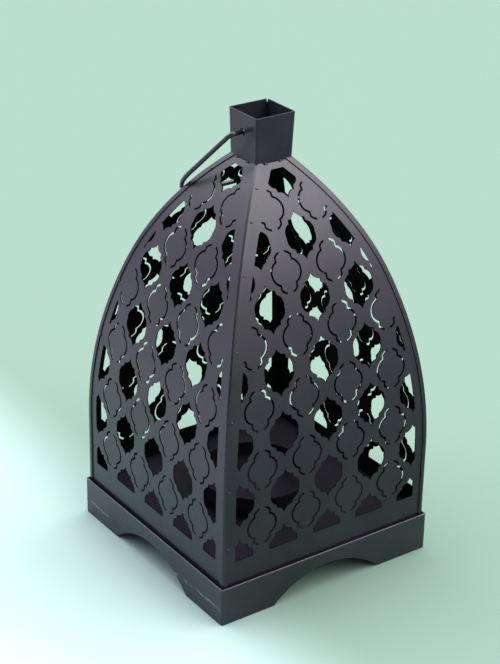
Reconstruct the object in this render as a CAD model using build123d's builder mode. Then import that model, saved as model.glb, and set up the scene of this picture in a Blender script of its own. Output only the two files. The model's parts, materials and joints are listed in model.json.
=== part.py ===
from build123d import *

import os
from math import asin, cos, degrees, hypot, radians, sin, sqrt, tan

# Moroccan-style metal lantern.  A square dome of four curved, pierced sheets stands inside the rim
# of a low square base on arched feet, and lifts straight off it.  A folded square neck closes the
# top, and a wire bail swings in two holes through the neck.
#
# Millimetres, +Z up, origin on the ground under the middle of the base, front towards -Y.

# ---- Base ----
BASE_SIDE = 170.0  # outside width of the square base
SKIRT_HEIGHT = 27.0
SKIRT_SHEET = 0.9
SKIRT_CORNER_RADIUS = 1.6
SKIRT_RIM_ROUNDING = 0.4
FOOT_LENGTH = 41.6  # along the ground, from a corner to the arch
ARCH_RISE = 17.5
FLOOR_TOP = 30.4  # upper face of the floor of the tray
FLOOR_HALF = 81.0  # outside half width of the raised tray
TRAY_SHEET = 0.8
TRAY_BEND = 1.6  # outside radius of the folded edges
LIP_TOP = 16.4  # ledge round the tray that the dome stands on
BEAD_LEG = 2.4  # weld beads under and inside the base
BEAD_START = 2.0
TRAY_BEADS = (-62, 58)
TRAY_BEAD_LENGTH = 9.0

# ---- Candle dish ----
DISH_RADIUS = 39.3
DISH_TOP = 47.5
DISH_ROUNDING = 8.0
DISH_SHEET = 0.8
RIVET_RADIUS = 2.0
RIVET_HEAD_RADIUS = 4.2
RIVET_HEAD_RISE = 1.5

# ---- Dome: outline of the outer face of a panel ----
BODY_HALF = 82.4
STRAIGHT_TOP = 80.1  # upright up to this height
LOWER_RADIUS = 368.6
LOWER_SWEEP = 19.85  # degrees of the lower arc
UPPER_RADIUS = 204.0  # the upper arc runs on from the lower one
PANEL_SHEET = 0.8
STRIP_SHEET = 0.65
STRIP_LEG = 3.0  # in from the corner of the panels
STRIP_BEVEL = 0.9  # taken off the strip's outer corner, which is folded flat across it

# ---- Neck ----
NECK_HALF = 14.2  # outside, at its foot
NECK_TOP_HALF = 15.2
NECK_HEIGHT = 31.2
NECK_SHEET = 0.8
NECK_BEND = 1.2
NOTCH_WIDTH = 1.3  # the seam opens at the rim
NOTCH_DEPTH = 2.8

# ---- Bail ----
WIRE_RADIUS = 1.5
BAIL_HOLE_RADIUS = 2.6
BAIL_HEIGHT = 18.6  # hinge axis above the foot of the neck
BAIL_REST_ANGLE = 48.5  # below level, when it lies on the back panel
BAIL_SHOULDER = 24.0  # half width where the legs leave the hinge axis
BAIL_REACH = 74.0  # from the hinge axis to the bar
BAIL_SPREAD = 44.0  # half width where the lines of leg and bar cross
BAIL_CORNER = 24.0
BAIL_HOOK = 6.5
BAIL_HOOK_HALF = 9.5

# ---- Pattern, measured on the flat sheet: across, and up from the rim of the base ----
PITCH_ACROSS = 35.2
PITCH_UP = 40.5
FIRST_OPEN_ROW = 16.3  # cut off flat along its middle by the bottom border
SIDE_BORDER = 9.0
TOP_BORDER = 4.5
SLOT_WIDTH = 1.4
BRIDGE_WIDTH = 4.3

# ---- Welds on the dome ----
TACKS_UP = (27, 69, 115, 158, 203, 234, 254)  # up the sheet from the rim of the base
TACK_INSET = STRIP_LEG  # in from the corner of the dome: over the edge of the strip
TACK_RADIUS = 1.6
TACK_SINK = 0.3  # starts this far under the panel's surface, and is cut off at it
TACK_RISE = 0.4  # above the strip
TACK_TAPER = 32
FOOT_GROOVE = 0.5  # bevel round the outside of the neck's foot
NECK_BEAD = 0.8
NECK_BEAD_LENGTH = 2.6
NECK_BEADS = (-6.5, 5.0)  # along each side of the neck

# ---- Worked out ----
BASE_HALF = BASE_SIDE / 2
INNER_HALF = BASE_HALF - SKIRT_SHEET
ARCH_HALF = BASE_HALF - FOOT_LENGTH
ARCH_RADIUS = (ARCH_HALF**2 + ARCH_RISE**2) / (2 * ARCH_RISE)
SWEEP = radians(LOWER_SWEEP)
LOWER_CENTRE = (BODY_HALF - LOWER_RADIUS, STRAIGHT_TOP)
UPPER_CENTRE = (
    LOWER_CENTRE[0] + (LOWER_RADIUS - UPPER_RADIUS) * cos(SWEEP),
    LOWER_CENTRE[1] + (LOWER_RADIUS - UPPER_RADIUS) * sin(SWEEP),
)
PANEL_TOP = UPPER_CENTRE[1] + sqrt(UPPER_RADIUS**2 - (NECK_HALF - UPPER_CENTRE[0]) ** 2)
STRAIGHT_LENGTH = STRAIGHT_TOP - SKIRT_HEIGHT
LOWER_LENGTH = LOWER_RADIUS * SWEEP
TOP_ANGLE = asin((PANEL_TOP - UPPER_CENTRE[1]) / UPPER_RADIUS)
SHEET_LENGTH = STRAIGHT_LENGTH + LOWER_LENGTH + UPPER_RADIUS * (TOP_ANGLE - SWEEP)
HINGE_HEIGHT = PANEL_TOP + BAIL_HEIGHT
SIDES = {"front": 0, "right": 90, "back": 180, "left": 270}
CORNERS = {"front_right": 0, "back_right": 90, "back_left": 180, "front_left": 270}
PANEL_BEVEL = STRIP_BEVEL - STRIP_SHEET * (2 - sqrt(2))  # keeps the strip equally thick all round


def finish(piece, name):
    """Label one finished piece and write it to its own file."""
    piece.part.label = name
    export_step(piece.part, f"parts/{name}.step")


def point_on_sheet(up):
    """Half width, height and tilt of the outer face, this far up the sheet from the base's rim."""
    if up <= STRAIGHT_LENGTH:
        return BODY_HALF, SKIRT_HEIGHT + up, 0
    if up <= STRAIGHT_LENGTH + LOWER_LENGTH:
        centre, radius, angle = LOWER_CENTRE, LOWER_RADIUS, (up - STRAIGHT_LENGTH) / LOWER_RADIUS
    else:
        beyond = (up - STRAIGHT_LENGTH - LOWER_LENGTH) / UPPER_RADIUS
        centre, radius, angle = UPPER_CENTRE, UPPER_RADIUS, SWEEP + beyond
    return centre[0] + radius * cos(angle), centre[1] + radius * sin(angle), angle


def height_on_sheet(up):
    """Height of the outer face, this far up the sheet from the base's rim."""
    return point_on_sheet(up)[1]


def dome_section(inset, bottom, top):
    """Upright slice through the middle of the dome, its sides moved in by inset."""
    lower, upper = LOWER_RADIUS - inset, UPPER_RADIUS - inset
    end_angle = degrees(asin((top - UPPER_CENTRE[1]) / upper))
    with BuildSketch(mode=Mode.PRIVATE) as section:
        with BuildLine():
            straight = Line((BODY_HALF - inset, bottom), (BODY_HALF - inset, STRAIGHT_TOP))
            CenterArc(LOWER_CENTRE, lower, 0, LOWER_SWEEP)
            shoulder = CenterArc(UPPER_CENTRE, upper, LOWER_SWEEP, end_angle - LOWER_SWEEP)
            Polyline(shoulder @ 1, (0, top), (0, bottom), straight @ 0)
        make_face()
        mirror(about=Plane.YZ)
    return section.sketch


def on_upright_corner(edge):
    """Whether an edge runs up one of the four corners of a square dome."""
    middle = edge @ 0.5
    return abs(abs(middle.X) - abs(middle.Y)) < 0.001 and abs((edge % 0.5).Z) > 0.3


def dome_block(inset, bottom, top, bevel):
    """Solid square dome, its four faces moved in by inset and its upright corners bevelled."""
    with BuildPart(mode=Mode.PRIVATE) as block:
        with BuildSketch(Plane.XZ):
            add(dome_section(inset, bottom, top))
        extrude(amount=BASE_SIDE, both=True)
        with BuildSketch(Plane.YZ):
            add(dome_section(inset, bottom, top))
        extrude(amount=BASE_SIDE, both=True, mode=Mode.INTERSECT)
        chamfer(block.edges().filter_by(on_upright_corner), bevel)
    return block.part


def middle_of_arc(centre, start, end):
    """Point halfway along the arc from start to end about centre."""
    to_start = (start[0] - centre[0], start[1] - centre[1])
    across = (to_start[0] + end[0] - centre[0], to_start[1] + end[1] - centre[1])
    scale = hypot(*to_start) / hypot(*across)
    return (centre[0] + across[0] * scale, centre[1] + across[1] * scale)


def slotted_quarter(grow):
    """One quarter of the outlined cell: a round top lobe, a notch and a round side lobe."""
    top_centre, top_radius = (0, 5.74), 7.66 + grow
    side_centre, side_radius = (3.0, 0), 8.1 + grow
    notch = 6.0 + grow
    corner = (notch, top_centre[1] + sqrt(top_radius**2 - notch**2))
    shoulder = (notch, sqrt(side_radius**2 - (notch - side_centre[0]) ** 2))
    top = (0, top_centre[1] + top_radius)
    side = (side_centre[0] + side_radius, 0)
    return top, top_centre, corner, shoulder, side_centre, side


def open_quarter():
    """One quarter of the open cell: a pointed tip with hollow flanks above a round side lobe."""
    return (0, 16.15), (7.1, 18.1), (6.3, 11.1), (6.8, 8.3), (2.9, 0), (11.0, 0)


def cell_face(across, up, quarter):
    """Outline of one cell, mirrored into its four quarters and laid on the curved sheet."""
    top, top_centre, corner, shoulder, side_centre, side = quarter
    top_middle = middle_of_arc(top_centre, top, corner)
    side_middle = middle_of_arc(side_centre, shoulder, side)
    with BuildSketch(mode=Mode.PRIVATE) as cell:
        with BuildLine():
            for left_right in (1, -1):
                for up_down in (1, -1):
                    top_1, middle_1, corner_1, shoulder_1, middle_2, side_1 = [
                        (across + left_right * x, height_on_sheet(up + up_down * y))
                        for x, y in (top, top_middle, corner, shoulder, side_middle, side)
                    ]
                    ThreePointArc(top_1, middle_1, corner_1)
                    Line(corner_1, shoulder_1)
                    ThreePointArc(shoulder_1, middle_2, side_1)
        make_face()
    return cell.sketch


def slot_pair(across, up):
    """The two thin slots that outline a cell, with a bridge left above and below."""
    with BuildSketch(mode=Mode.PRIVATE) as slots:
        add(cell_face(across, up, slotted_quarter(SLOT_WIDTH / 2)))
        add(cell_face(across, up, slotted_quarter(-SLOT_WIDTH / 2)), mode=Mode.SUBTRACT)
        with Locations((across, height_on_sheet(up))):
            Rectangle(BRIDGE_WIDTH, PITCH_UP, mode=Mode.SUBTRACT)
    return slots.sketch


os.makedirs("parts", exist_ok=True)

# ==== Base ====

# One arched side of the base.  The ends are mitred, and the corner is bent round.
with BuildPart() as skirt_plate:
    with BuildSketch():
        RectangleRounded(BASE_SIDE, BASE_SIDE, SKIRT_CORNER_RADIUS)
        inside = BASE_SIDE - 2 * SKIRT_SHEET
        RectangleRounded(inside, inside, SKIRT_CORNER_RADIUS - SKIRT_SHEET, mode=Mode.SUBTRACT)
    extrude(amount=SKIRT_HEIGHT)
    fillet(skirt_plate.faces().sort_by(Axis.Z)[-1].outer_wire().edges(), SKIRT_RIM_ROUNDING)
    with BuildSketch():
        with BuildLine():
            Polyline((0, 0), (-BASE_SIDE, -BASE_SIDE), (BASE_SIDE, -BASE_SIDE), close=True)
        make_face()
    extrude(amount=SKIRT_HEIGHT, mode=Mode.INTERSECT)
    with BuildSketch(Plane.XZ):
        with Locations((0, ARCH_RISE - ARCH_RADIUS)):
            Circle(ARCH_RADIUS)
    extrude(amount=BASE_SIDE, mode=Mode.SUBTRACT)

for side, turn in SIDES.items():
    with BuildPart() as skirt:
        add(skirt_plate.part, rotation=(0, 0, turn))
    finish(skirt, f"skirt_{side}")

# Weld bead up the inside of each corner of the base.
with BuildPart() as corner_bead:
    with BuildSketch(Plane.XY.offset(BEAD_START)):
        with BuildLine():
            FilletPolyline((INNER_HALF - BEAD_LEG, -INNER_HALF), (INNER_HALF, -INNER_HALF),
                           (INNER_HALF, BEAD_LEG - INNER_HALF), radius=SKIRT_CORNER_RADIUS - SKIRT_SHEET)
            ThreePointArc((INNER_HALF, BEAD_LEG - INNER_HALF),
                          (INNER_HALF - 0.4 * BEAD_LEG, 0.4 * BEAD_LEG - INNER_HALF),
                          (INNER_HALF - BEAD_LEG, -INNER_HALF))
        make_face()
    extrude(amount=LIP_TOP - TRAY_SHEET - BEAD_START)

with BuildPart() as skirt_corner_welds:
    for turn in CORNERS.values():
        add(corner_bead.part, rotation=(0, 0, turn))
finish(skirt_corner_welds, "skirt_corner_welds")

# Raised floor, folded from one sheet: top, four walls and a ledge out to the skirt.
with BuildPart() as floor_tray:
    with BuildSketch(Plane.XY.offset(LIP_TOP - TRAY_SHEET)):
        RectangleRounded(2 * INNER_HALF, 2 * INNER_HALF, SKIRT_CORNER_RADIUS)
    extrude(amount=TRAY_SHEET)
    with BuildSketch(Plane.XY.offset(LIP_TOP - TRAY_SHEET)):
        RectangleRounded(2 * FLOOR_HALF, 2 * FLOOR_HALF, TRAY_BEND)
    extrude(amount=FLOOR_TOP - LIP_TOP + TRAY_SHEET)
    fillet(floor_tray.faces().sort_by(Axis.Z)[-1].edges(), TRAY_BEND)
    with BuildSketch(Plane.XY.offset(LIP_TOP - TRAY_SHEET)):
        hollow = 2 * (FLOOR_HALF - TRAY_SHEET)
        RectangleRounded(hollow, hollow, TRAY_BEND - TRAY_SHEET)
    extrude(amount=FLOOR_TOP - LIP_TOP, mode=Mode.SUBTRACT)
    with Locations((0, 0, FLOOR_TOP)):
        Hole(RIVET_RADIUS)
finish(floor_tray, "floor_tray")

# Short weld beads under the ledge that hold the tray to the skirt, two on each side.
with BuildPart() as tray_bead:
    for along in TRAY_BEADS:
        with BuildSketch(Plane.YZ.offset(along)):
            with BuildLine():
                ledge = LIP_TOP - TRAY_SHEET
                Polyline((-INNER_HALF, ledge - BEAD_LEG), (-INNER_HALF, ledge), (BEAD_LEG - INNER_HALF, ledge))
                ThreePointArc((BEAD_LEG - INNER_HALF, ledge),
                              (0.4 * BEAD_LEG - INNER_HALF, ledge - 0.4 * BEAD_LEG),
                              (-INNER_HALF, ledge - BEAD_LEG))
            make_face()
        extrude(amount=TRAY_BEAD_LENGTH / 2, both=True)

with BuildPart() as tray_welds:
    for turn in SIDES.values():
        add(tray_bead.part, rotation=(0, 0, turn))
finish(tray_welds, "tray_welds")

# ==== Candle dish ====

with BuildPart() as candle_dish:
    with BuildSketch(Plane.XZ) as dish_profile:
        with BuildLine():
            FilletPolyline((0, FLOOR_TOP), (DISH_RADIUS, FLOOR_TOP), (DISH_RADIUS, DISH_TOP),
                           radius=DISH_ROUNDING)
            Line((DISH_RADIUS, DISH_TOP), (DISH_RADIUS - DISH_SHEET, DISH_TOP))
            FilletPolyline((DISH_RADIUS - DISH_SHEET, DISH_TOP),
                           (DISH_RADIUS - DISH_SHEET, FLOOR_TOP + DISH_SHEET),
                           (0, FLOOR_TOP + DISH_SHEET), radius=DISH_ROUNDING - DISH_SHEET)
            Line((0, FLOOR_TOP + DISH_SHEET), (0, FLOOR_TOP))
        make_face()
    revolve(axis=Axis.Z)
    Hole(RIVET_RADIUS)
finish(candle_dish, "candle_dish")

# Rivet through dish and floor, a low round head on each side.
with BuildPart() as dish_rivet:
    with BuildSketch(Plane.XY.offset(FLOOR_TOP - TRAY_SHEET)):
        Circle(RIVET_RADIUS)
    extrude(amount=TRAY_SHEET + DISH_SHEET)
    with BuildSketch(Plane.XY.offset(FLOOR_TOP + DISH_SHEET)):
        Circle(RIVET_HEAD_RADIUS)
    extrude(amount=RIVET_HEAD_RISE)
    with BuildSketch(Plane.XY.offset(FLOOR_TOP - TRAY_SHEET)):
        Circle(RIVET_HEAD_RADIUS)
    extrude(amount=-RIVET_HEAD_RISE)
    outer_rims = dish_rivet.edges().filter_by(GeomType.CIRCLE).sort_by(Axis.Z)
    fillet([outer_rims[0], outer_rims[-1]], 0.8 * RIVET_HEAD_RISE)
finish(dish_rivet, "dish_rivet")

# ==== Dome ====

dome_outside = dome_block(0, LIP_TOP, PANEL_TOP + 3, PANEL_BEVEL)

# One pierced panel: a curved sheet, cut to the dome's outline, with the pattern cut through it.
with BuildPart() as panel:
    with BuildSketch(Plane.YZ):
        add(dome_section(0, LIP_TOP, PANEL_TOP))
        add(dome_section(PANEL_SHEET, LIP_TOP, PANEL_TOP), mode=Mode.SUBTRACT)
        with Locations((BASE_HALF, PANEL_TOP / 2)):
            Rectangle(BASE_SIDE, 2 * PANEL_TOP, mode=Mode.SUBTRACT)
    extrude(amount=BODY_HALF, both=True)
    with BuildSketch(Plane.XZ):
        add(dome_section(PANEL_SHEET, LIP_TOP, PANEL_TOP))
    extrude(amount=BODY_HALF, mode=Mode.INTERSECT)
    add(dome_outside, mode=Mode.INTERSECT)
    with BuildSketch(Plane.XZ):
        for row in range(7):
            up = FIRST_OPEN_ROW + row * PITCH_UP
            for column in range(-2, 3):
                add(cell_face(column * PITCH_ACROSS, up, open_quarter()))
        for row in range(6):
            up = FIRST_OPEN_ROW + (row + 0.5) * PITCH_UP
            for column in (-1.5, -0.5, 0.5, 1.5):
                if row == 4 and abs(column) > 1:
                    add(cell_face(column * PITCH_ACROSS, up, slotted_quarter(0)))
                else:
                    add(slot_pair(column * PITCH_ACROSS, up))
        window_top = height_on_sheet(SHEET_LENGTH - TOP_BORDER)
        add(dome_section(SIDE_BORDER, height_on_sheet(FIRST_OPEN_ROW), window_top), mode=Mode.INTERSECT)
    extrude(amount=BASE_SIDE, mode=Mode.SUBTRACT)

for side, turn in SIDES.items():
    with BuildPart() as lattice_panel:
        add(panel.part, rotation=(0, 0, turn))
    finish(lattice_panel, f"lattice_panel_{side}")

# Folded strip over each corner of the dome: a leg on each of the two panels and a narrow flat
# across the corner between them.  It stops at the neck.
with BuildPart() as strip:
    add(dome_block(-STRIP_SHEET, LIP_TOP, PANEL_TOP + 3, STRIP_BEVEL))
    add(dome_outside, mode=Mode.SUBTRACT)
    for plane in (Plane.XZ, Plane.YZ):
        with BuildSketch(plane):
            add(dome_section(STRIP_LEG, LIP_TOP - 1, PANEL_TOP + 2))
        extrude(amount=BASE_SIDE, both=True, mode=Mode.SUBTRACT)
    with BuildSketch():
        with Locations((BASE_HALF, -BASE_HALF)):
            Rectangle(BASE_SIDE, BASE_SIDE)
    extrude(amount=PANEL_TOP + 10, mode=Mode.INTERSECT)
    with BuildSketch():
        Rectangle(2 * NECK_HALF + 0.1, 2 * NECK_HALF + 0.1)
    extrude(amount=PANEL_TOP + 10, mode=Mode.SUBTRACT)

for corner, turn in CORNERS.items():
    with BuildPart() as corner_strip:
        add(strip.part, rotation=(0, 0, turn))
    finish(corner_strip, f"corner_strip_{corner}")

# Weld tacks over the edge of one leg of each corner strip, onto the panel beside it.
with BuildPart() as tack_row:
    for up in TACKS_UP:
        half_width, height, tilt = point_on_sheet(up)
        inward, drop = TACK_SINK * cos(tilt), TACK_SINK * sin(tilt)
        edge_shift = STRIP_SHEET * sin(tilt) * tan(tilt)  # of the strip's outside edge, on the slope
        spot = (half_width - inward, TACK_INSET + edge_shift - half_width, height - drop)
        with BuildSketch(Plane(spot, x_dir=(0, 1, 0), z_dir=(cos(tilt), 0, sin(tilt)))):
            Circle(TACK_RADIUS)
        extrude(amount=TACK_SINK + STRIP_SHEET + TACK_RISE, taper=TACK_TAPER)
    add(dome_outside, mode=Mode.SUBTRACT)
    add(strip.part, mode=Mode.SUBTRACT)

for corner, turn in CORNERS.items():
    with BuildPart() as tack_welds:
        add(tack_row.part, rotation=(0, 0, turn))
    finish(tack_welds, f"tack_welds_{corner}")

# ==== Neck ====

with BuildPart() as neck:
    with BuildSketch(Plane.XY.offset(PANEL_TOP)):
        RectangleRounded(2 * NECK_HALF, 2 * NECK_HALF, NECK_BEND)
    with BuildSketch(Plane.XY.offset(PANEL_TOP + NECK_HEIGHT)):
        RectangleRounded(2 * NECK_TOP_HALF, 2 * NECK_TOP_HALF, NECK_BEND)
    loft()
    with BuildSketch(Plane.XY.offset(PANEL_TOP)):
        bore = 2 * (NECK_HALF - NECK_SHEET)
        RectangleRounded(bore, bore, NECK_BEND - NECK_SHEET)
    with BuildSketch(Plane.XY.offset(PANEL_TOP + NECK_HEIGHT)):
        top_bore = 2 * (NECK_TOP_HALF - NECK_SHEET)
        RectangleRounded(top_bore, top_bore, NECK_BEND - NECK_SHEET)
    loft(mode=Mode.SUBTRACT)
    with BuildSketch(Plane.YZ):
        with Locations((0, HINGE_HEIGHT)):
            Circle(BAIL_HOLE_RADIUS)
    extrude(amount=BASE_HALF, both=True, mode=Mode.SUBTRACT)
    chamfer(neck.faces().sort_by(Axis.Z)[0].outer_wire().edges(), FOOT_GROOVE)
    seam_top = (NECK_TOP_HALF, NECK_TOP_HALF, PANEL_TOP + NECK_HEIGHT)
    with BuildSketch(Plane(seam_top, x_dir=(-1, 1, 0), z_dir=(1, 1, 0))):
        with BuildLine():
            Polyline((-NOTCH_WIDTH / 2, 0), (0, -NOTCH_DEPTH), (NOTCH_WIDTH / 2, 0), close=True)
        make_face()
    extrude(amount=NECK_HALF / 2, both=True, mode=Mode.SUBTRACT)
finish(neck, "neck")

# Short weld beads along the foot of the neck, two on each panel.
with BuildPart() as foot_bead:
    for along in NECK_BEADS:
        with BuildSketch(Plane.YZ.offset(along)):
            with Locations((-NECK_HALF, PANEL_TOP)):
                Circle(NECK_BEAD)
        extrude(amount=NECK_BEAD_LENGTH / 2, both=True)
    add(dome_outside, mode=Mode.SUBTRACT)
    add(neck.part, mode=Mode.SUBTRACT)
    with BuildSketch():
        groove_root = 2 * (NECK_HALF - FOOT_GROOVE)
        Rectangle(groove_root, groove_root)
    extrude(amount=PANEL_TOP + NECK_HEIGHT, mode=Mode.SUBTRACT)

with BuildPart() as neck_welds:
    for turn in SIDES.values():
        add(foot_bead.part, rotation=(0, 0, turn))
finish(neck_welds, "neck_welds")

# ==== Bail ====

rest = radians(BAIL_REST_ANGLE)
bail_plane = Plane((0, 0, HINGE_HEIGHT), x_dir=(1, 0, 0), z_dir=(0, sin(rest), cos(rest)))
with BuildPart() as bail_handle:
    with BuildLine(bail_plane):
        bail_path = FilletPolyline(
            (-BAIL_HOOK_HALF, -BAIL_HOOK),
            (-BAIL_HOOK_HALF, 0),
            (-BAIL_SHOULDER, 0),
            (-BAIL_SPREAD, BAIL_REACH),
            (BAIL_SPREAD, BAIL_REACH),
            (BAIL_SHOULDER, 0),
            (BAIL_HOOK_HALF, 0),
            (BAIL_HOOK_HALF, -BAIL_HOOK),
            radius=[2.5, 4, BAIL_CORNER, BAIL_CORNER, 4, 2.5],
        )
    with BuildSketch(Plane(bail_path @ 0, z_dir=bail_path % 0)):
        Circle(WIRE_RADIUS)
    sweep()
finish(bail_handle, "bail_handle")
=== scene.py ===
import json
import math

import bpy
import numpy as np
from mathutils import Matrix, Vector, noise


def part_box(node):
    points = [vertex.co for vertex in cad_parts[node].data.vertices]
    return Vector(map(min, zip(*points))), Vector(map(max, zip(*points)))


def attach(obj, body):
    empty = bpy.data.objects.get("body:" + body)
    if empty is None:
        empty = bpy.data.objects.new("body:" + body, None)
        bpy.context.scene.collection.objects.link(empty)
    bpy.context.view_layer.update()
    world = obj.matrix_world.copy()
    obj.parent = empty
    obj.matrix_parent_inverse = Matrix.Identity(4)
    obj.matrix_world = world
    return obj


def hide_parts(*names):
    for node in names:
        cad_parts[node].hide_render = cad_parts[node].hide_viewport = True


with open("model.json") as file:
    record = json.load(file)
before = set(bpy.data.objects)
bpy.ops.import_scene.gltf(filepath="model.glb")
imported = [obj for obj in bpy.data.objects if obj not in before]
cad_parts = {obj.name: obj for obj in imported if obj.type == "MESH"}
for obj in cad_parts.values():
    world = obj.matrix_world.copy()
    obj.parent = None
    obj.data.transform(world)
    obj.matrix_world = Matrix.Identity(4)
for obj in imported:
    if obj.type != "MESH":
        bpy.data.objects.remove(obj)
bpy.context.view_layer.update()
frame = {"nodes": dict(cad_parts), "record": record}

# Looks of the metal lantern: worn black paint on pierced sheet steel, lumpy painted-over welds, and
# the pale studio it stands in, with painted light and shade on its floor.  Metres, in the frame of the
# CAD model; colours are linear RGB.

MM = 0.001
NODES = frame["nodes"]
BODIES = frame["record"]["behaviour"]["bodies"]
BODY_OF = {node: body for body, nodes in BODIES.items() for node in nodes}


# ---- Camera ----

AZIMUTH, ELEVATION, ROLL = (math.radians(angle) for angle in (-35.2, 24.97, 0.91))
DISTANCE = 1.1991
TARGET_HEIGHT = 0.1782
SIDEWAYS = -0.0154
FOCAL_LENGTH = 98.3
LENS_SHIFT = (0.0231, -0.0513)


def add_camera():
    """Camera at the viewing angle: left of the front face and above it, with a long lens."""
    back = Vector((math.sin(AZIMUTH) * math.cos(ELEVATION), -math.cos(AZIMUTH) * math.cos(ELEVATION),
                   math.sin(ELEVATION)))
    right = Vector((0, 0, 1)).cross(back).normalized()
    up = back.cross(right)
    data = bpy.data.cameras.new("camera")
    data.lens = FOCAL_LENGTH
    data.shift_x, data.shift_y = LENS_SHIFT
    camera = bpy.data.objects.new("camera", data)
    rolled_right = right * math.cos(ROLL) + up * math.sin(ROLL)
    rolled_up = up * math.cos(ROLL) - right * math.sin(ROLL)
    place = Vector((0, 0, TARGET_HEIGHT)) + back * DISTANCE + right * SIDEWAYS
    for row in range(3):
        camera.matrix_world[row] = (rolled_right[row], rolled_up[row], back[row], place[row])
    bpy.context.scene.collection.objects.link(camera)
    bpy.context.scene.camera = camera


# ---- Studio ----

FLOOR_HALF = 8.0
FLOOR_ROUGHNESS = 0.9
# Painted shade and light on the floor: its colour is darkest at and behind the lantern and to its right,
# and lighter in steps to the left and the front.
FLOOR_PAINTED_SHADE_COLOUR = (0.112, 0.174, 0.133, 1)
FLOOR_PAINTED_LIGHT_STEPS = (  # painted light: the floor grows lighter this way, to this colour, from here to there
    ((-1, 0), (0.215, 0.305, 0.265, 1), 0.02, 0.12),
    ((-1, 0), (0.330, 0.335, 0.390, 1), 0.15, 0.38),
    ((0, -1), (0.165, 0.192, 0.192, 1), 0.15, 0.60),
)
HORIZON = (1.30, 1.24, 1.40, 1)
ZENITH = (8.5, 8.0, 8.8, 1)
SKY_RISE = (0.10, 0.82)  # sines of the heights between which the horizon's colour turns into the zenith's
LOBES = (  # where its middle is, cosines at its edge and core, how it blends with the sky, colour
    ((-0.58, -0.46, 0.60), 0.66, 0.86, "MULTIPLY", (0.10, 0.10, 0.11, 1)),  # unlit side, front left
    ((-0.60, 0.68, 0.40), 0.78, 0.97, "MULTIPLY", (0.66, 0.68, 0.72, 1)),  # higher up, back left
    ((-0.66, 0.74, -0.05), 0.80, 0.98, "ADD", (0.45, 0.30, 0.60, 1)),  # lighter side, back left
    ((0.54, -0.84, 0.00), 0.80, 0.98, "ADD", (0.58, 0.42, 0.54, 1)),  # lighter side, front right
    ((0.52, 0.74, 0.42), 0.74, 0.95, "MULTIPLY", (0.32, 0.35, 0.34, 1)),  # dimmer wall, back right
)


def add_sky():
    """Soft studio dome: bright overhead, dimmer at eye level, with lighter and darker sides."""
    world = bpy.data.worlds.new("studio")
    world.use_nodes = True
    tree = world.node_tree

    def add_node(kind, values, links):
        node = tree.nodes.new(kind)
        for key, value in values.items():
            node.inputs[key].default_value = value
        for key, source in links.items():
            tree.links.new(source, node.inputs[key])
        return node

    def smooth(value, low, high):
        node = add_node("ShaderNodeMapRange", {"From Min": low, "From Max": high}, {"Value": value})
        node.interpolation_type = "SMOOTHSTEP"
        return node.outputs[0]

    direction = tree.nodes.new("ShaderNodeTexCoord").outputs["Generated"]
    split = add_node("ShaderNodeSeparateXYZ", {}, {0: direction})
    dome = tree.nodes.new("ShaderNodeMix")
    dome.data_type = "RGBA"
    dome.inputs["A"].default_value = HORIZON
    dome.inputs["B"].default_value = ZENITH
    tree.links.new(smooth(split.outputs["Z"], *SKY_RISE), dome.inputs["Factor"])
    colour = dome.outputs["Result"]
    for towards, edge, core, blend, tint in LOBES:
        dot = add_node("ShaderNodeVectorMath", {1: Vector(towards).normalized()}, {0: direction})
        dot.operation = "DOT_PRODUCT"
        lobe = tree.nodes.new("ShaderNodeMix")
        lobe.data_type = "RGBA"
        lobe.blend_type = blend
        lobe.inputs["B"].default_value = tint
        tree.links.new(smooth(dot.outputs["Value"], edge, core), lobe.inputs["Factor"])
        tree.links.new(colour, lobe.inputs["A"])
        colour = lobe.outputs["Result"]
    tree.links.new(colour, tree.nodes["Background"].inputs["Color"])
    bpy.context.scene.world = world


def add_floor():
    """Large matt floor in a pale colour, with painted shade and light: darkest at and behind the lantern
    and to its right, lighter in steps to the left and the front.
    """
    mesh = bpy.data.meshes.new("floor")
    corners = [(-FLOOR_HALF, -FLOOR_HALF, 0), (FLOOR_HALF, -FLOOR_HALF, 0),
               (FLOOR_HALF, FLOOR_HALF, 0), (-FLOOR_HALF, FLOOR_HALF, 0)]
    mesh.from_pydata(corners, [], [(0, 1, 2, 3)])
    floor = bpy.data.objects.new("floor", mesh)
    bpy.context.scene.collection.objects.link(floor)
    paint = Paint("pale_floor")
    # start from the painted shade at and behind the lantern
    colour = FLOOR_PAINTED_SHADE_COLOUR
    for (way_x, way_y), lighter, start, end in FLOOR_PAINTED_LIGHT_STEPS:
        along = paint.math("ADD", paint.math("MULTIPLY", paint.x, way_x),
                           paint.math("MULTIPLY", paint.y, way_y))
        # painted light: each step lightens the floor away from the painted shade
        colour = paint.mix(paint.ramp(along, start, end), colour, lighter)
    paint.plug(colour, paint.shader.inputs["Base Color"])
    paint.shader.inputs["Roughness"].default_value = FLOOR_ROUGHNESS
    paint.shader.inputs["Specular IOR Level"].default_value = 0.0
    mesh.materials.append(paint.material)


# ---- Materials ----

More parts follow.
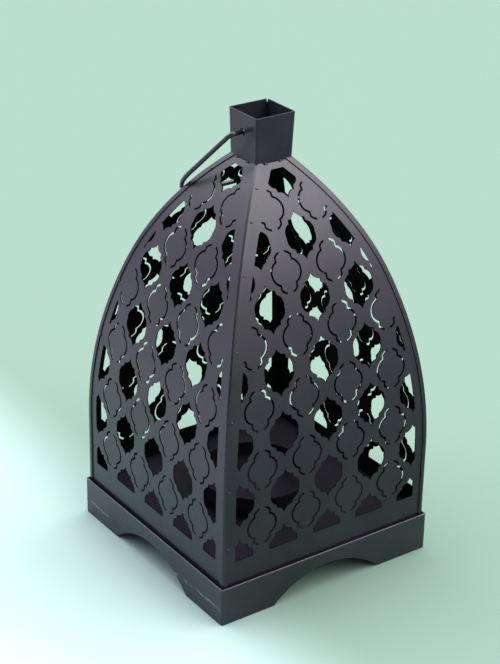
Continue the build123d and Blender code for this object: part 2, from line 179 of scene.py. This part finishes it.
class Paint:
    """Builds one worn-paint material, node by node.  Places are in metres on the object."""

    def __init__(self, name):
        self.material = bpy.data.materials.new(name)
        self.material.use_nodes = True
        self.tree = self.material.node_tree
        self.shader = self.tree.nodes["Principled BSDF"]
        coordinates = self.tree.nodes.new("ShaderNodeTexCoord")
        self.place = coordinates.outputs["Object"]
        self.normal = coordinates.outputs["Normal"]
        split = self.tree.nodes.new("ShaderNodeSeparateXYZ")
        self.tree.links.new(self.place, split.inputs[0])
        self.x, self.y, self.z = split.outputs

    def plug(self, value, socket):
        """Link an output to the socket, or set the socket to a plain value."""
        if isinstance(value, bpy.types.NodeSocket):
            self.tree.links.new(value, socket)
        else:
            socket.default_value = value

    def math(self, operation, first, second=0.0, clamp=False):
        node = self.tree.nodes.new("ShaderNodeMath")
        node.operation = operation
        node.use_clamp = clamp
        self.plug(first, node.inputs[0])
        self.plug(second, node.inputs[1])
        return node.outputs[0]

    def ramp(self, value, low, high, out_low=0.0, out_high=1.0):
        """Smooth step from out_low at low to out_high at high."""
        node = self.tree.nodes.new("ShaderNodeMapRange")
        node.interpolation_type = "SMOOTHSTEP"
        self.plug(value, node.inputs["Value"])
        limits = {"From Min": low, "From Max": high, "To Min": out_low, "To Max": out_high}
        for key, number in limits.items():
            node.inputs[key].default_value = number
        return node.outputs[0]

    def noise(self, scale, detail=3.0, stretch=(1, 1, 1), shift=(0, 0, 0), roughness=0.5):
        mapping = self.tree.nodes.new("ShaderNodeMapping")
        mapping.inputs["Scale"].default_value = stretch
        mapping.inputs["Location"].default_value = shift
        self.tree.links.new(self.place, mapping.inputs["Vector"])
        node = self.tree.nodes.new("ShaderNodeTexNoise")
        self.tree.links.new(mapping.outputs[0], node.inputs["Vector"])
        node.inputs["Scale"].default_value = scale
        node.inputs["Detail"].default_value = detail
        node.inputs["Roughness"].default_value = roughness
        return node.outputs["Fac"]

    def near(self, value, target, width):
        """1 where value is at target, falling to 0 this far away."""
        gap = self.math("ABSOLUTE", self.math("SUBTRACT", value, target))
        return self.ramp(gap, 0.0, width, 1.0, 0.0)

    def turned_from(self, outward):
        """0 on faces that face outward, 1 on those square to it or turned away from it."""
        facing = self.tree.nodes.new("ShaderNodeVectorMath")
        facing.operation = "DOT_PRODUCT"
        facing.inputs[1].default_value = outward
        self.tree.links.new(self.normal, facing.inputs[0])
        return self.ramp(facing.outputs["Value"], 0.10, 0.35, 1.0, 0.0)

    def mix(self, amount, first, second):
        node = self.tree.nodes.new("ShaderNodeMix")
        node.data_type = "RGBA"
        self.plug(amount, node.inputs["Factor"])
        self.plug(first, node.inputs["A"])
        self.plug(second, node.inputs["B"])
        return node.outputs["Result"]

    def finish(self, colour, roughness, height):
        """Wire colour, roughness and a height map (its full range is PAINT_RELIEF) to the shader."""
        self.plug(colour, self.shader.inputs["Base Color"])
        self.plug(roughness, self.shader.inputs["Roughness"])
        bump = self.tree.nodes.new("ShaderNodeBump")
        bump.inputs["Distance"].default_value = PAINT_RELIEF
        self.plug(height, bump.inputs["Height"])
        self.tree.links.new(bump.outputs[0], self.shader.inputs["Normal"])
        return self.material


BLACK = (0.006, 0.0075, 0.0085)
# lighter colour of rubbed paint and scratches; along the base's top rim it also makes a painted highlight
RUBBED_AND_HIGHLIGHT = (0.11, 0.12, 0.12, 1)
DUST = (0.05, 0.052, 0.055, 1)
CUT_OXIDE = (0.007, 0.0095, 0.0088, 1)
CLOUD_SHADES = (0.8, 1.25)
DUST_SHARE = 0.3
HAIR_SHARE = 0.1
PAINT_RELIEF = 0.3 * MM
WAVE_DEPTH, PEEL_DEPTH, HAIR_DEPTH = 0.6, 0.03, 0.05  # shares of PAINT_RELIEF
SCUFF_HEIGHT, SCUFF_WIDTH, SCUFF_DRIFT = 11.0 * MM, 1.1 * MM, 6.0 * MM
# the base's top rim is painted lighter: rubbed paint and a painted highlight along its edge
RIM_WIDTH, RIM_SHARE = 0.7 * MM, 0.12
FACE_DEPTH = 0.3 * MM  # how deep into the sheet a mark on its face may reach


def worn_paint(name, colour, roughness=0.27, wear_and_highlight=None, shine=0.35, outward=None):
    """Semi-matte black paint: cloudy patches, a soft orange peel, dust specks and hairline scratches.

    wear_and_highlight(paint) gives a 0 to 1 mask of where the paint is made lighter: rubbed paint, and on
    the base's top rim also a painted highlight.  outward is the way in which a pierced sheet faces; the
    walls of its cuts, which turn away from it, show dull black oxide."""
    paint = Paint(name)
    clouds = paint.ramp(paint.noise(28, 4), 0.35, 0.68)
    dark, light = (tuple(shade * c for c in colour) + (1,) for shade in CLOUD_SHADES)
    base = paint.mix(clouds, dark, light)
    specks = paint.ramp(paint.noise(900, 1), 0.74, 0.80, 0.0, DUST_SHARE)
    base = paint.mix(specks, base, DUST)
    hairs = paint.ramp(paint.noise(60, 2, stretch=(1, 1, 26), shift=(3, 1, 7)), 0.685, 0.71)
    patches = paint.ramp(paint.noise(22, 2, shift=(5, 2, 9)), 0.54, 0.62)
    hairs = paint.math("MULTIPLY", hairs, patches)
    base = paint.mix(paint.math("MULTIPLY", hairs, HAIR_SHARE), base, RUBBED_AND_HIGHLIGHT)
    if wear_and_highlight:
        grain = paint.ramp(paint.noise(420, 3), 0.38, 0.6, 0.35, 1.0)
        base = paint.mix(paint.math("MULTIPLY", wear_and_highlight(paint), grain, clamp=True), base, RUBBED_AND_HIGHLIGHT)
    rough = paint.ramp(paint.noise(34, 2, shift=(1, 8, 2)), 0.3, 0.7, roughness - 0.03, roughness + 0.05)
    peel = paint.math("MULTIPLY", paint.noise(700, 1), PEEL_DEPTH)
    waves = paint.math("MULTIPLY", paint.noise(26, 1, shift=(4, 4, 1)), WAVE_DEPTH)
    scratches = paint.math("MULTIPLY", hairs, HAIR_DEPTH)
    height = paint.math("SUBTRACT", paint.math("ADD", waves, peel), scratches)
    if outward:
        cut = paint.turned_from(outward)
        base = paint.mix(cut, base, CUT_OXIDE)
        rough = paint.math("MAXIMUM", rough, cut)
        paint.plug(cut, paint.shader.inputs["Metallic"])
    paint.shader.inputs["Specular IOR Level"].default_value = shine
    return paint.finish(base, rough, height)


def base_wear_and_rim_highlight(paint):
    """Lighter top rim, partly rubbed paint and partly a painted highlight, and a broken scuff line along
    the left face, level with the arch's crown.
    """
    # painted highlight, together with rubbed paint, along the top rim
    rim = paint.near(paint.z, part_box("skirt_front")[1].z, RIM_WIDTH)
    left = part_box("skirt_left")[0].x
    face = paint.ramp(paint.x, left, left + FACE_DEPTH, 1.0, 0.0)
    drift = paint.math("MULTIPLY", paint.math("SUBTRACT", paint.noise(60, 2), 0.5), SCUFF_DRIFT)
    line = paint.near(paint.math("ADD", paint.z, drift), SCUFF_HEIGHT, SCUFF_WIDTH)
    broken = paint.ramp(paint.noise(75, 2, stretch=(1, 1, 0.1), shift=(2, 6, 4)), 0.38, 0.56)
    scuff = paint.math("MULTIPLY", paint.math("MULTIPLY", line, broken), face)
    return paint.math("MAXIMUM", paint.math("MULTIPLY", rim, RIM_SHARE), scuff)


PANELS = {"front": (0, -1, 0), "right": (1, 0, 0), "back": (0, 1, 0), "left": (-1, 0, 0)}


def make_paints():
    """One paint for each kind of node; each lattice panel has its own, because each faces another way."""
    panels = {"panel_" + side: worn_paint("panel_paint_" + side, BLACK, outward=way)
              for side, way in PANELS.items()}
    return panels | {
        "strip": worn_paint("strip_paint", BLACK, 0.25),
        "weld": worn_paint("weld_paint", (0.005, 0.006, 0.007), 0.24),
        "base": worn_paint("base_paint", BLACK, 0.26, base_wear_and_rim_highlight, shine=0.50),
        "inside": worn_paint("inside_paint", (0.006, 0.006, 0.007), 0.6, shine=0.08),
        "neck": worn_paint("neck_paint", (0.0095, 0.0105, 0.014), 0.26, shine=0.20),
        "wire": worn_paint("wire_paint", (0.005, 0.007, 0.007), 0.22),
    }


PAINT_BY_START = {"lattice_panel_" + side: "panel_" + side for side in PANELS} | {
    "corner_strip": "strip",
    "skirt": "base",
    "floor": "inside",
    "candle": "inside",
    "dish": "inside",
    "neck": "neck",
    "bail": "wire",
    "tack": "weld",
    "tray": "inside",
}


def paint_nodes(paints):
    """Give every CAD node its own worn paint."""
    for name, node in NODES.items():
        kind = next(kind for start, kind in PAINT_BY_START.items() if name.startswith(start))
        node.data.materials.clear()
        node.data.materials.append(paints[kind])


# ---- Welds ----

WELD_VOXEL = 0.25 * MM
WELD_SOFTENING = 3
WELD_LUMP = 0.22 * MM
LUMP_SIZE, SMALL_LUMP_SIZE = 1.1 * MM, 0.5 * MM
WELD_NODES = [name for name in NODES if "weld" in name]


def lumpy_weld(name, material):
    """Beads of weld as they set: the CAD beads run together, rounded and uneven, under the paint."""
    mesh = NODES[name].data.copy()
    mesh.name = name + "_beads"
    bead = bpy.data.objects.new(mesh.name, mesh)
    bpy.context.scene.collection.objects.link(bead)
    remesh = bead.modifiers.new("run_together", "REMESH")
    remesh.mode = "VOXEL"
    remesh.voxel_size = WELD_VOXEL
    soften = bead.modifiers.new("soften", "SMOOTH")
    soften.iterations = WELD_SOFTENING
    evaluated = bead.evaluated_get(bpy.context.evaluated_depsgraph_get())
    lumpy = bpy.data.meshes.new_from_object(evaluated)
    bead.modifiers.clear()
    bead.data = lumpy
    normals = np.empty(len(lumpy.vertices) * 3)
    lumpy.vertices.foreach_get("normal", normals)
    for vertex, normal in zip(lumpy.vertices, normals.reshape(-1, 3)):
        lump = noise.noise(vertex.co / LUMP_SIZE) + 0.5 * noise.noise(vertex.co / SMALL_LUMP_SIZE)
        vertex.co += Vector(normal) * (WELD_LUMP * lump)
    lumpy.shade_smooth()
    lumpy.materials.clear()
    lumpy.materials.append(material)
    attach(bead, BODY_OF[name])
    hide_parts(name)


# ---- Building the scene ----

bpy.context.scene.view_settings.view_transform = "Standard"
add_camera()
add_sky()
add_floor()
paints = make_paints()
paint_nodes(paints)
for weld in WELD_NODES:
    lumpy_weld(weld, paints["weld"])
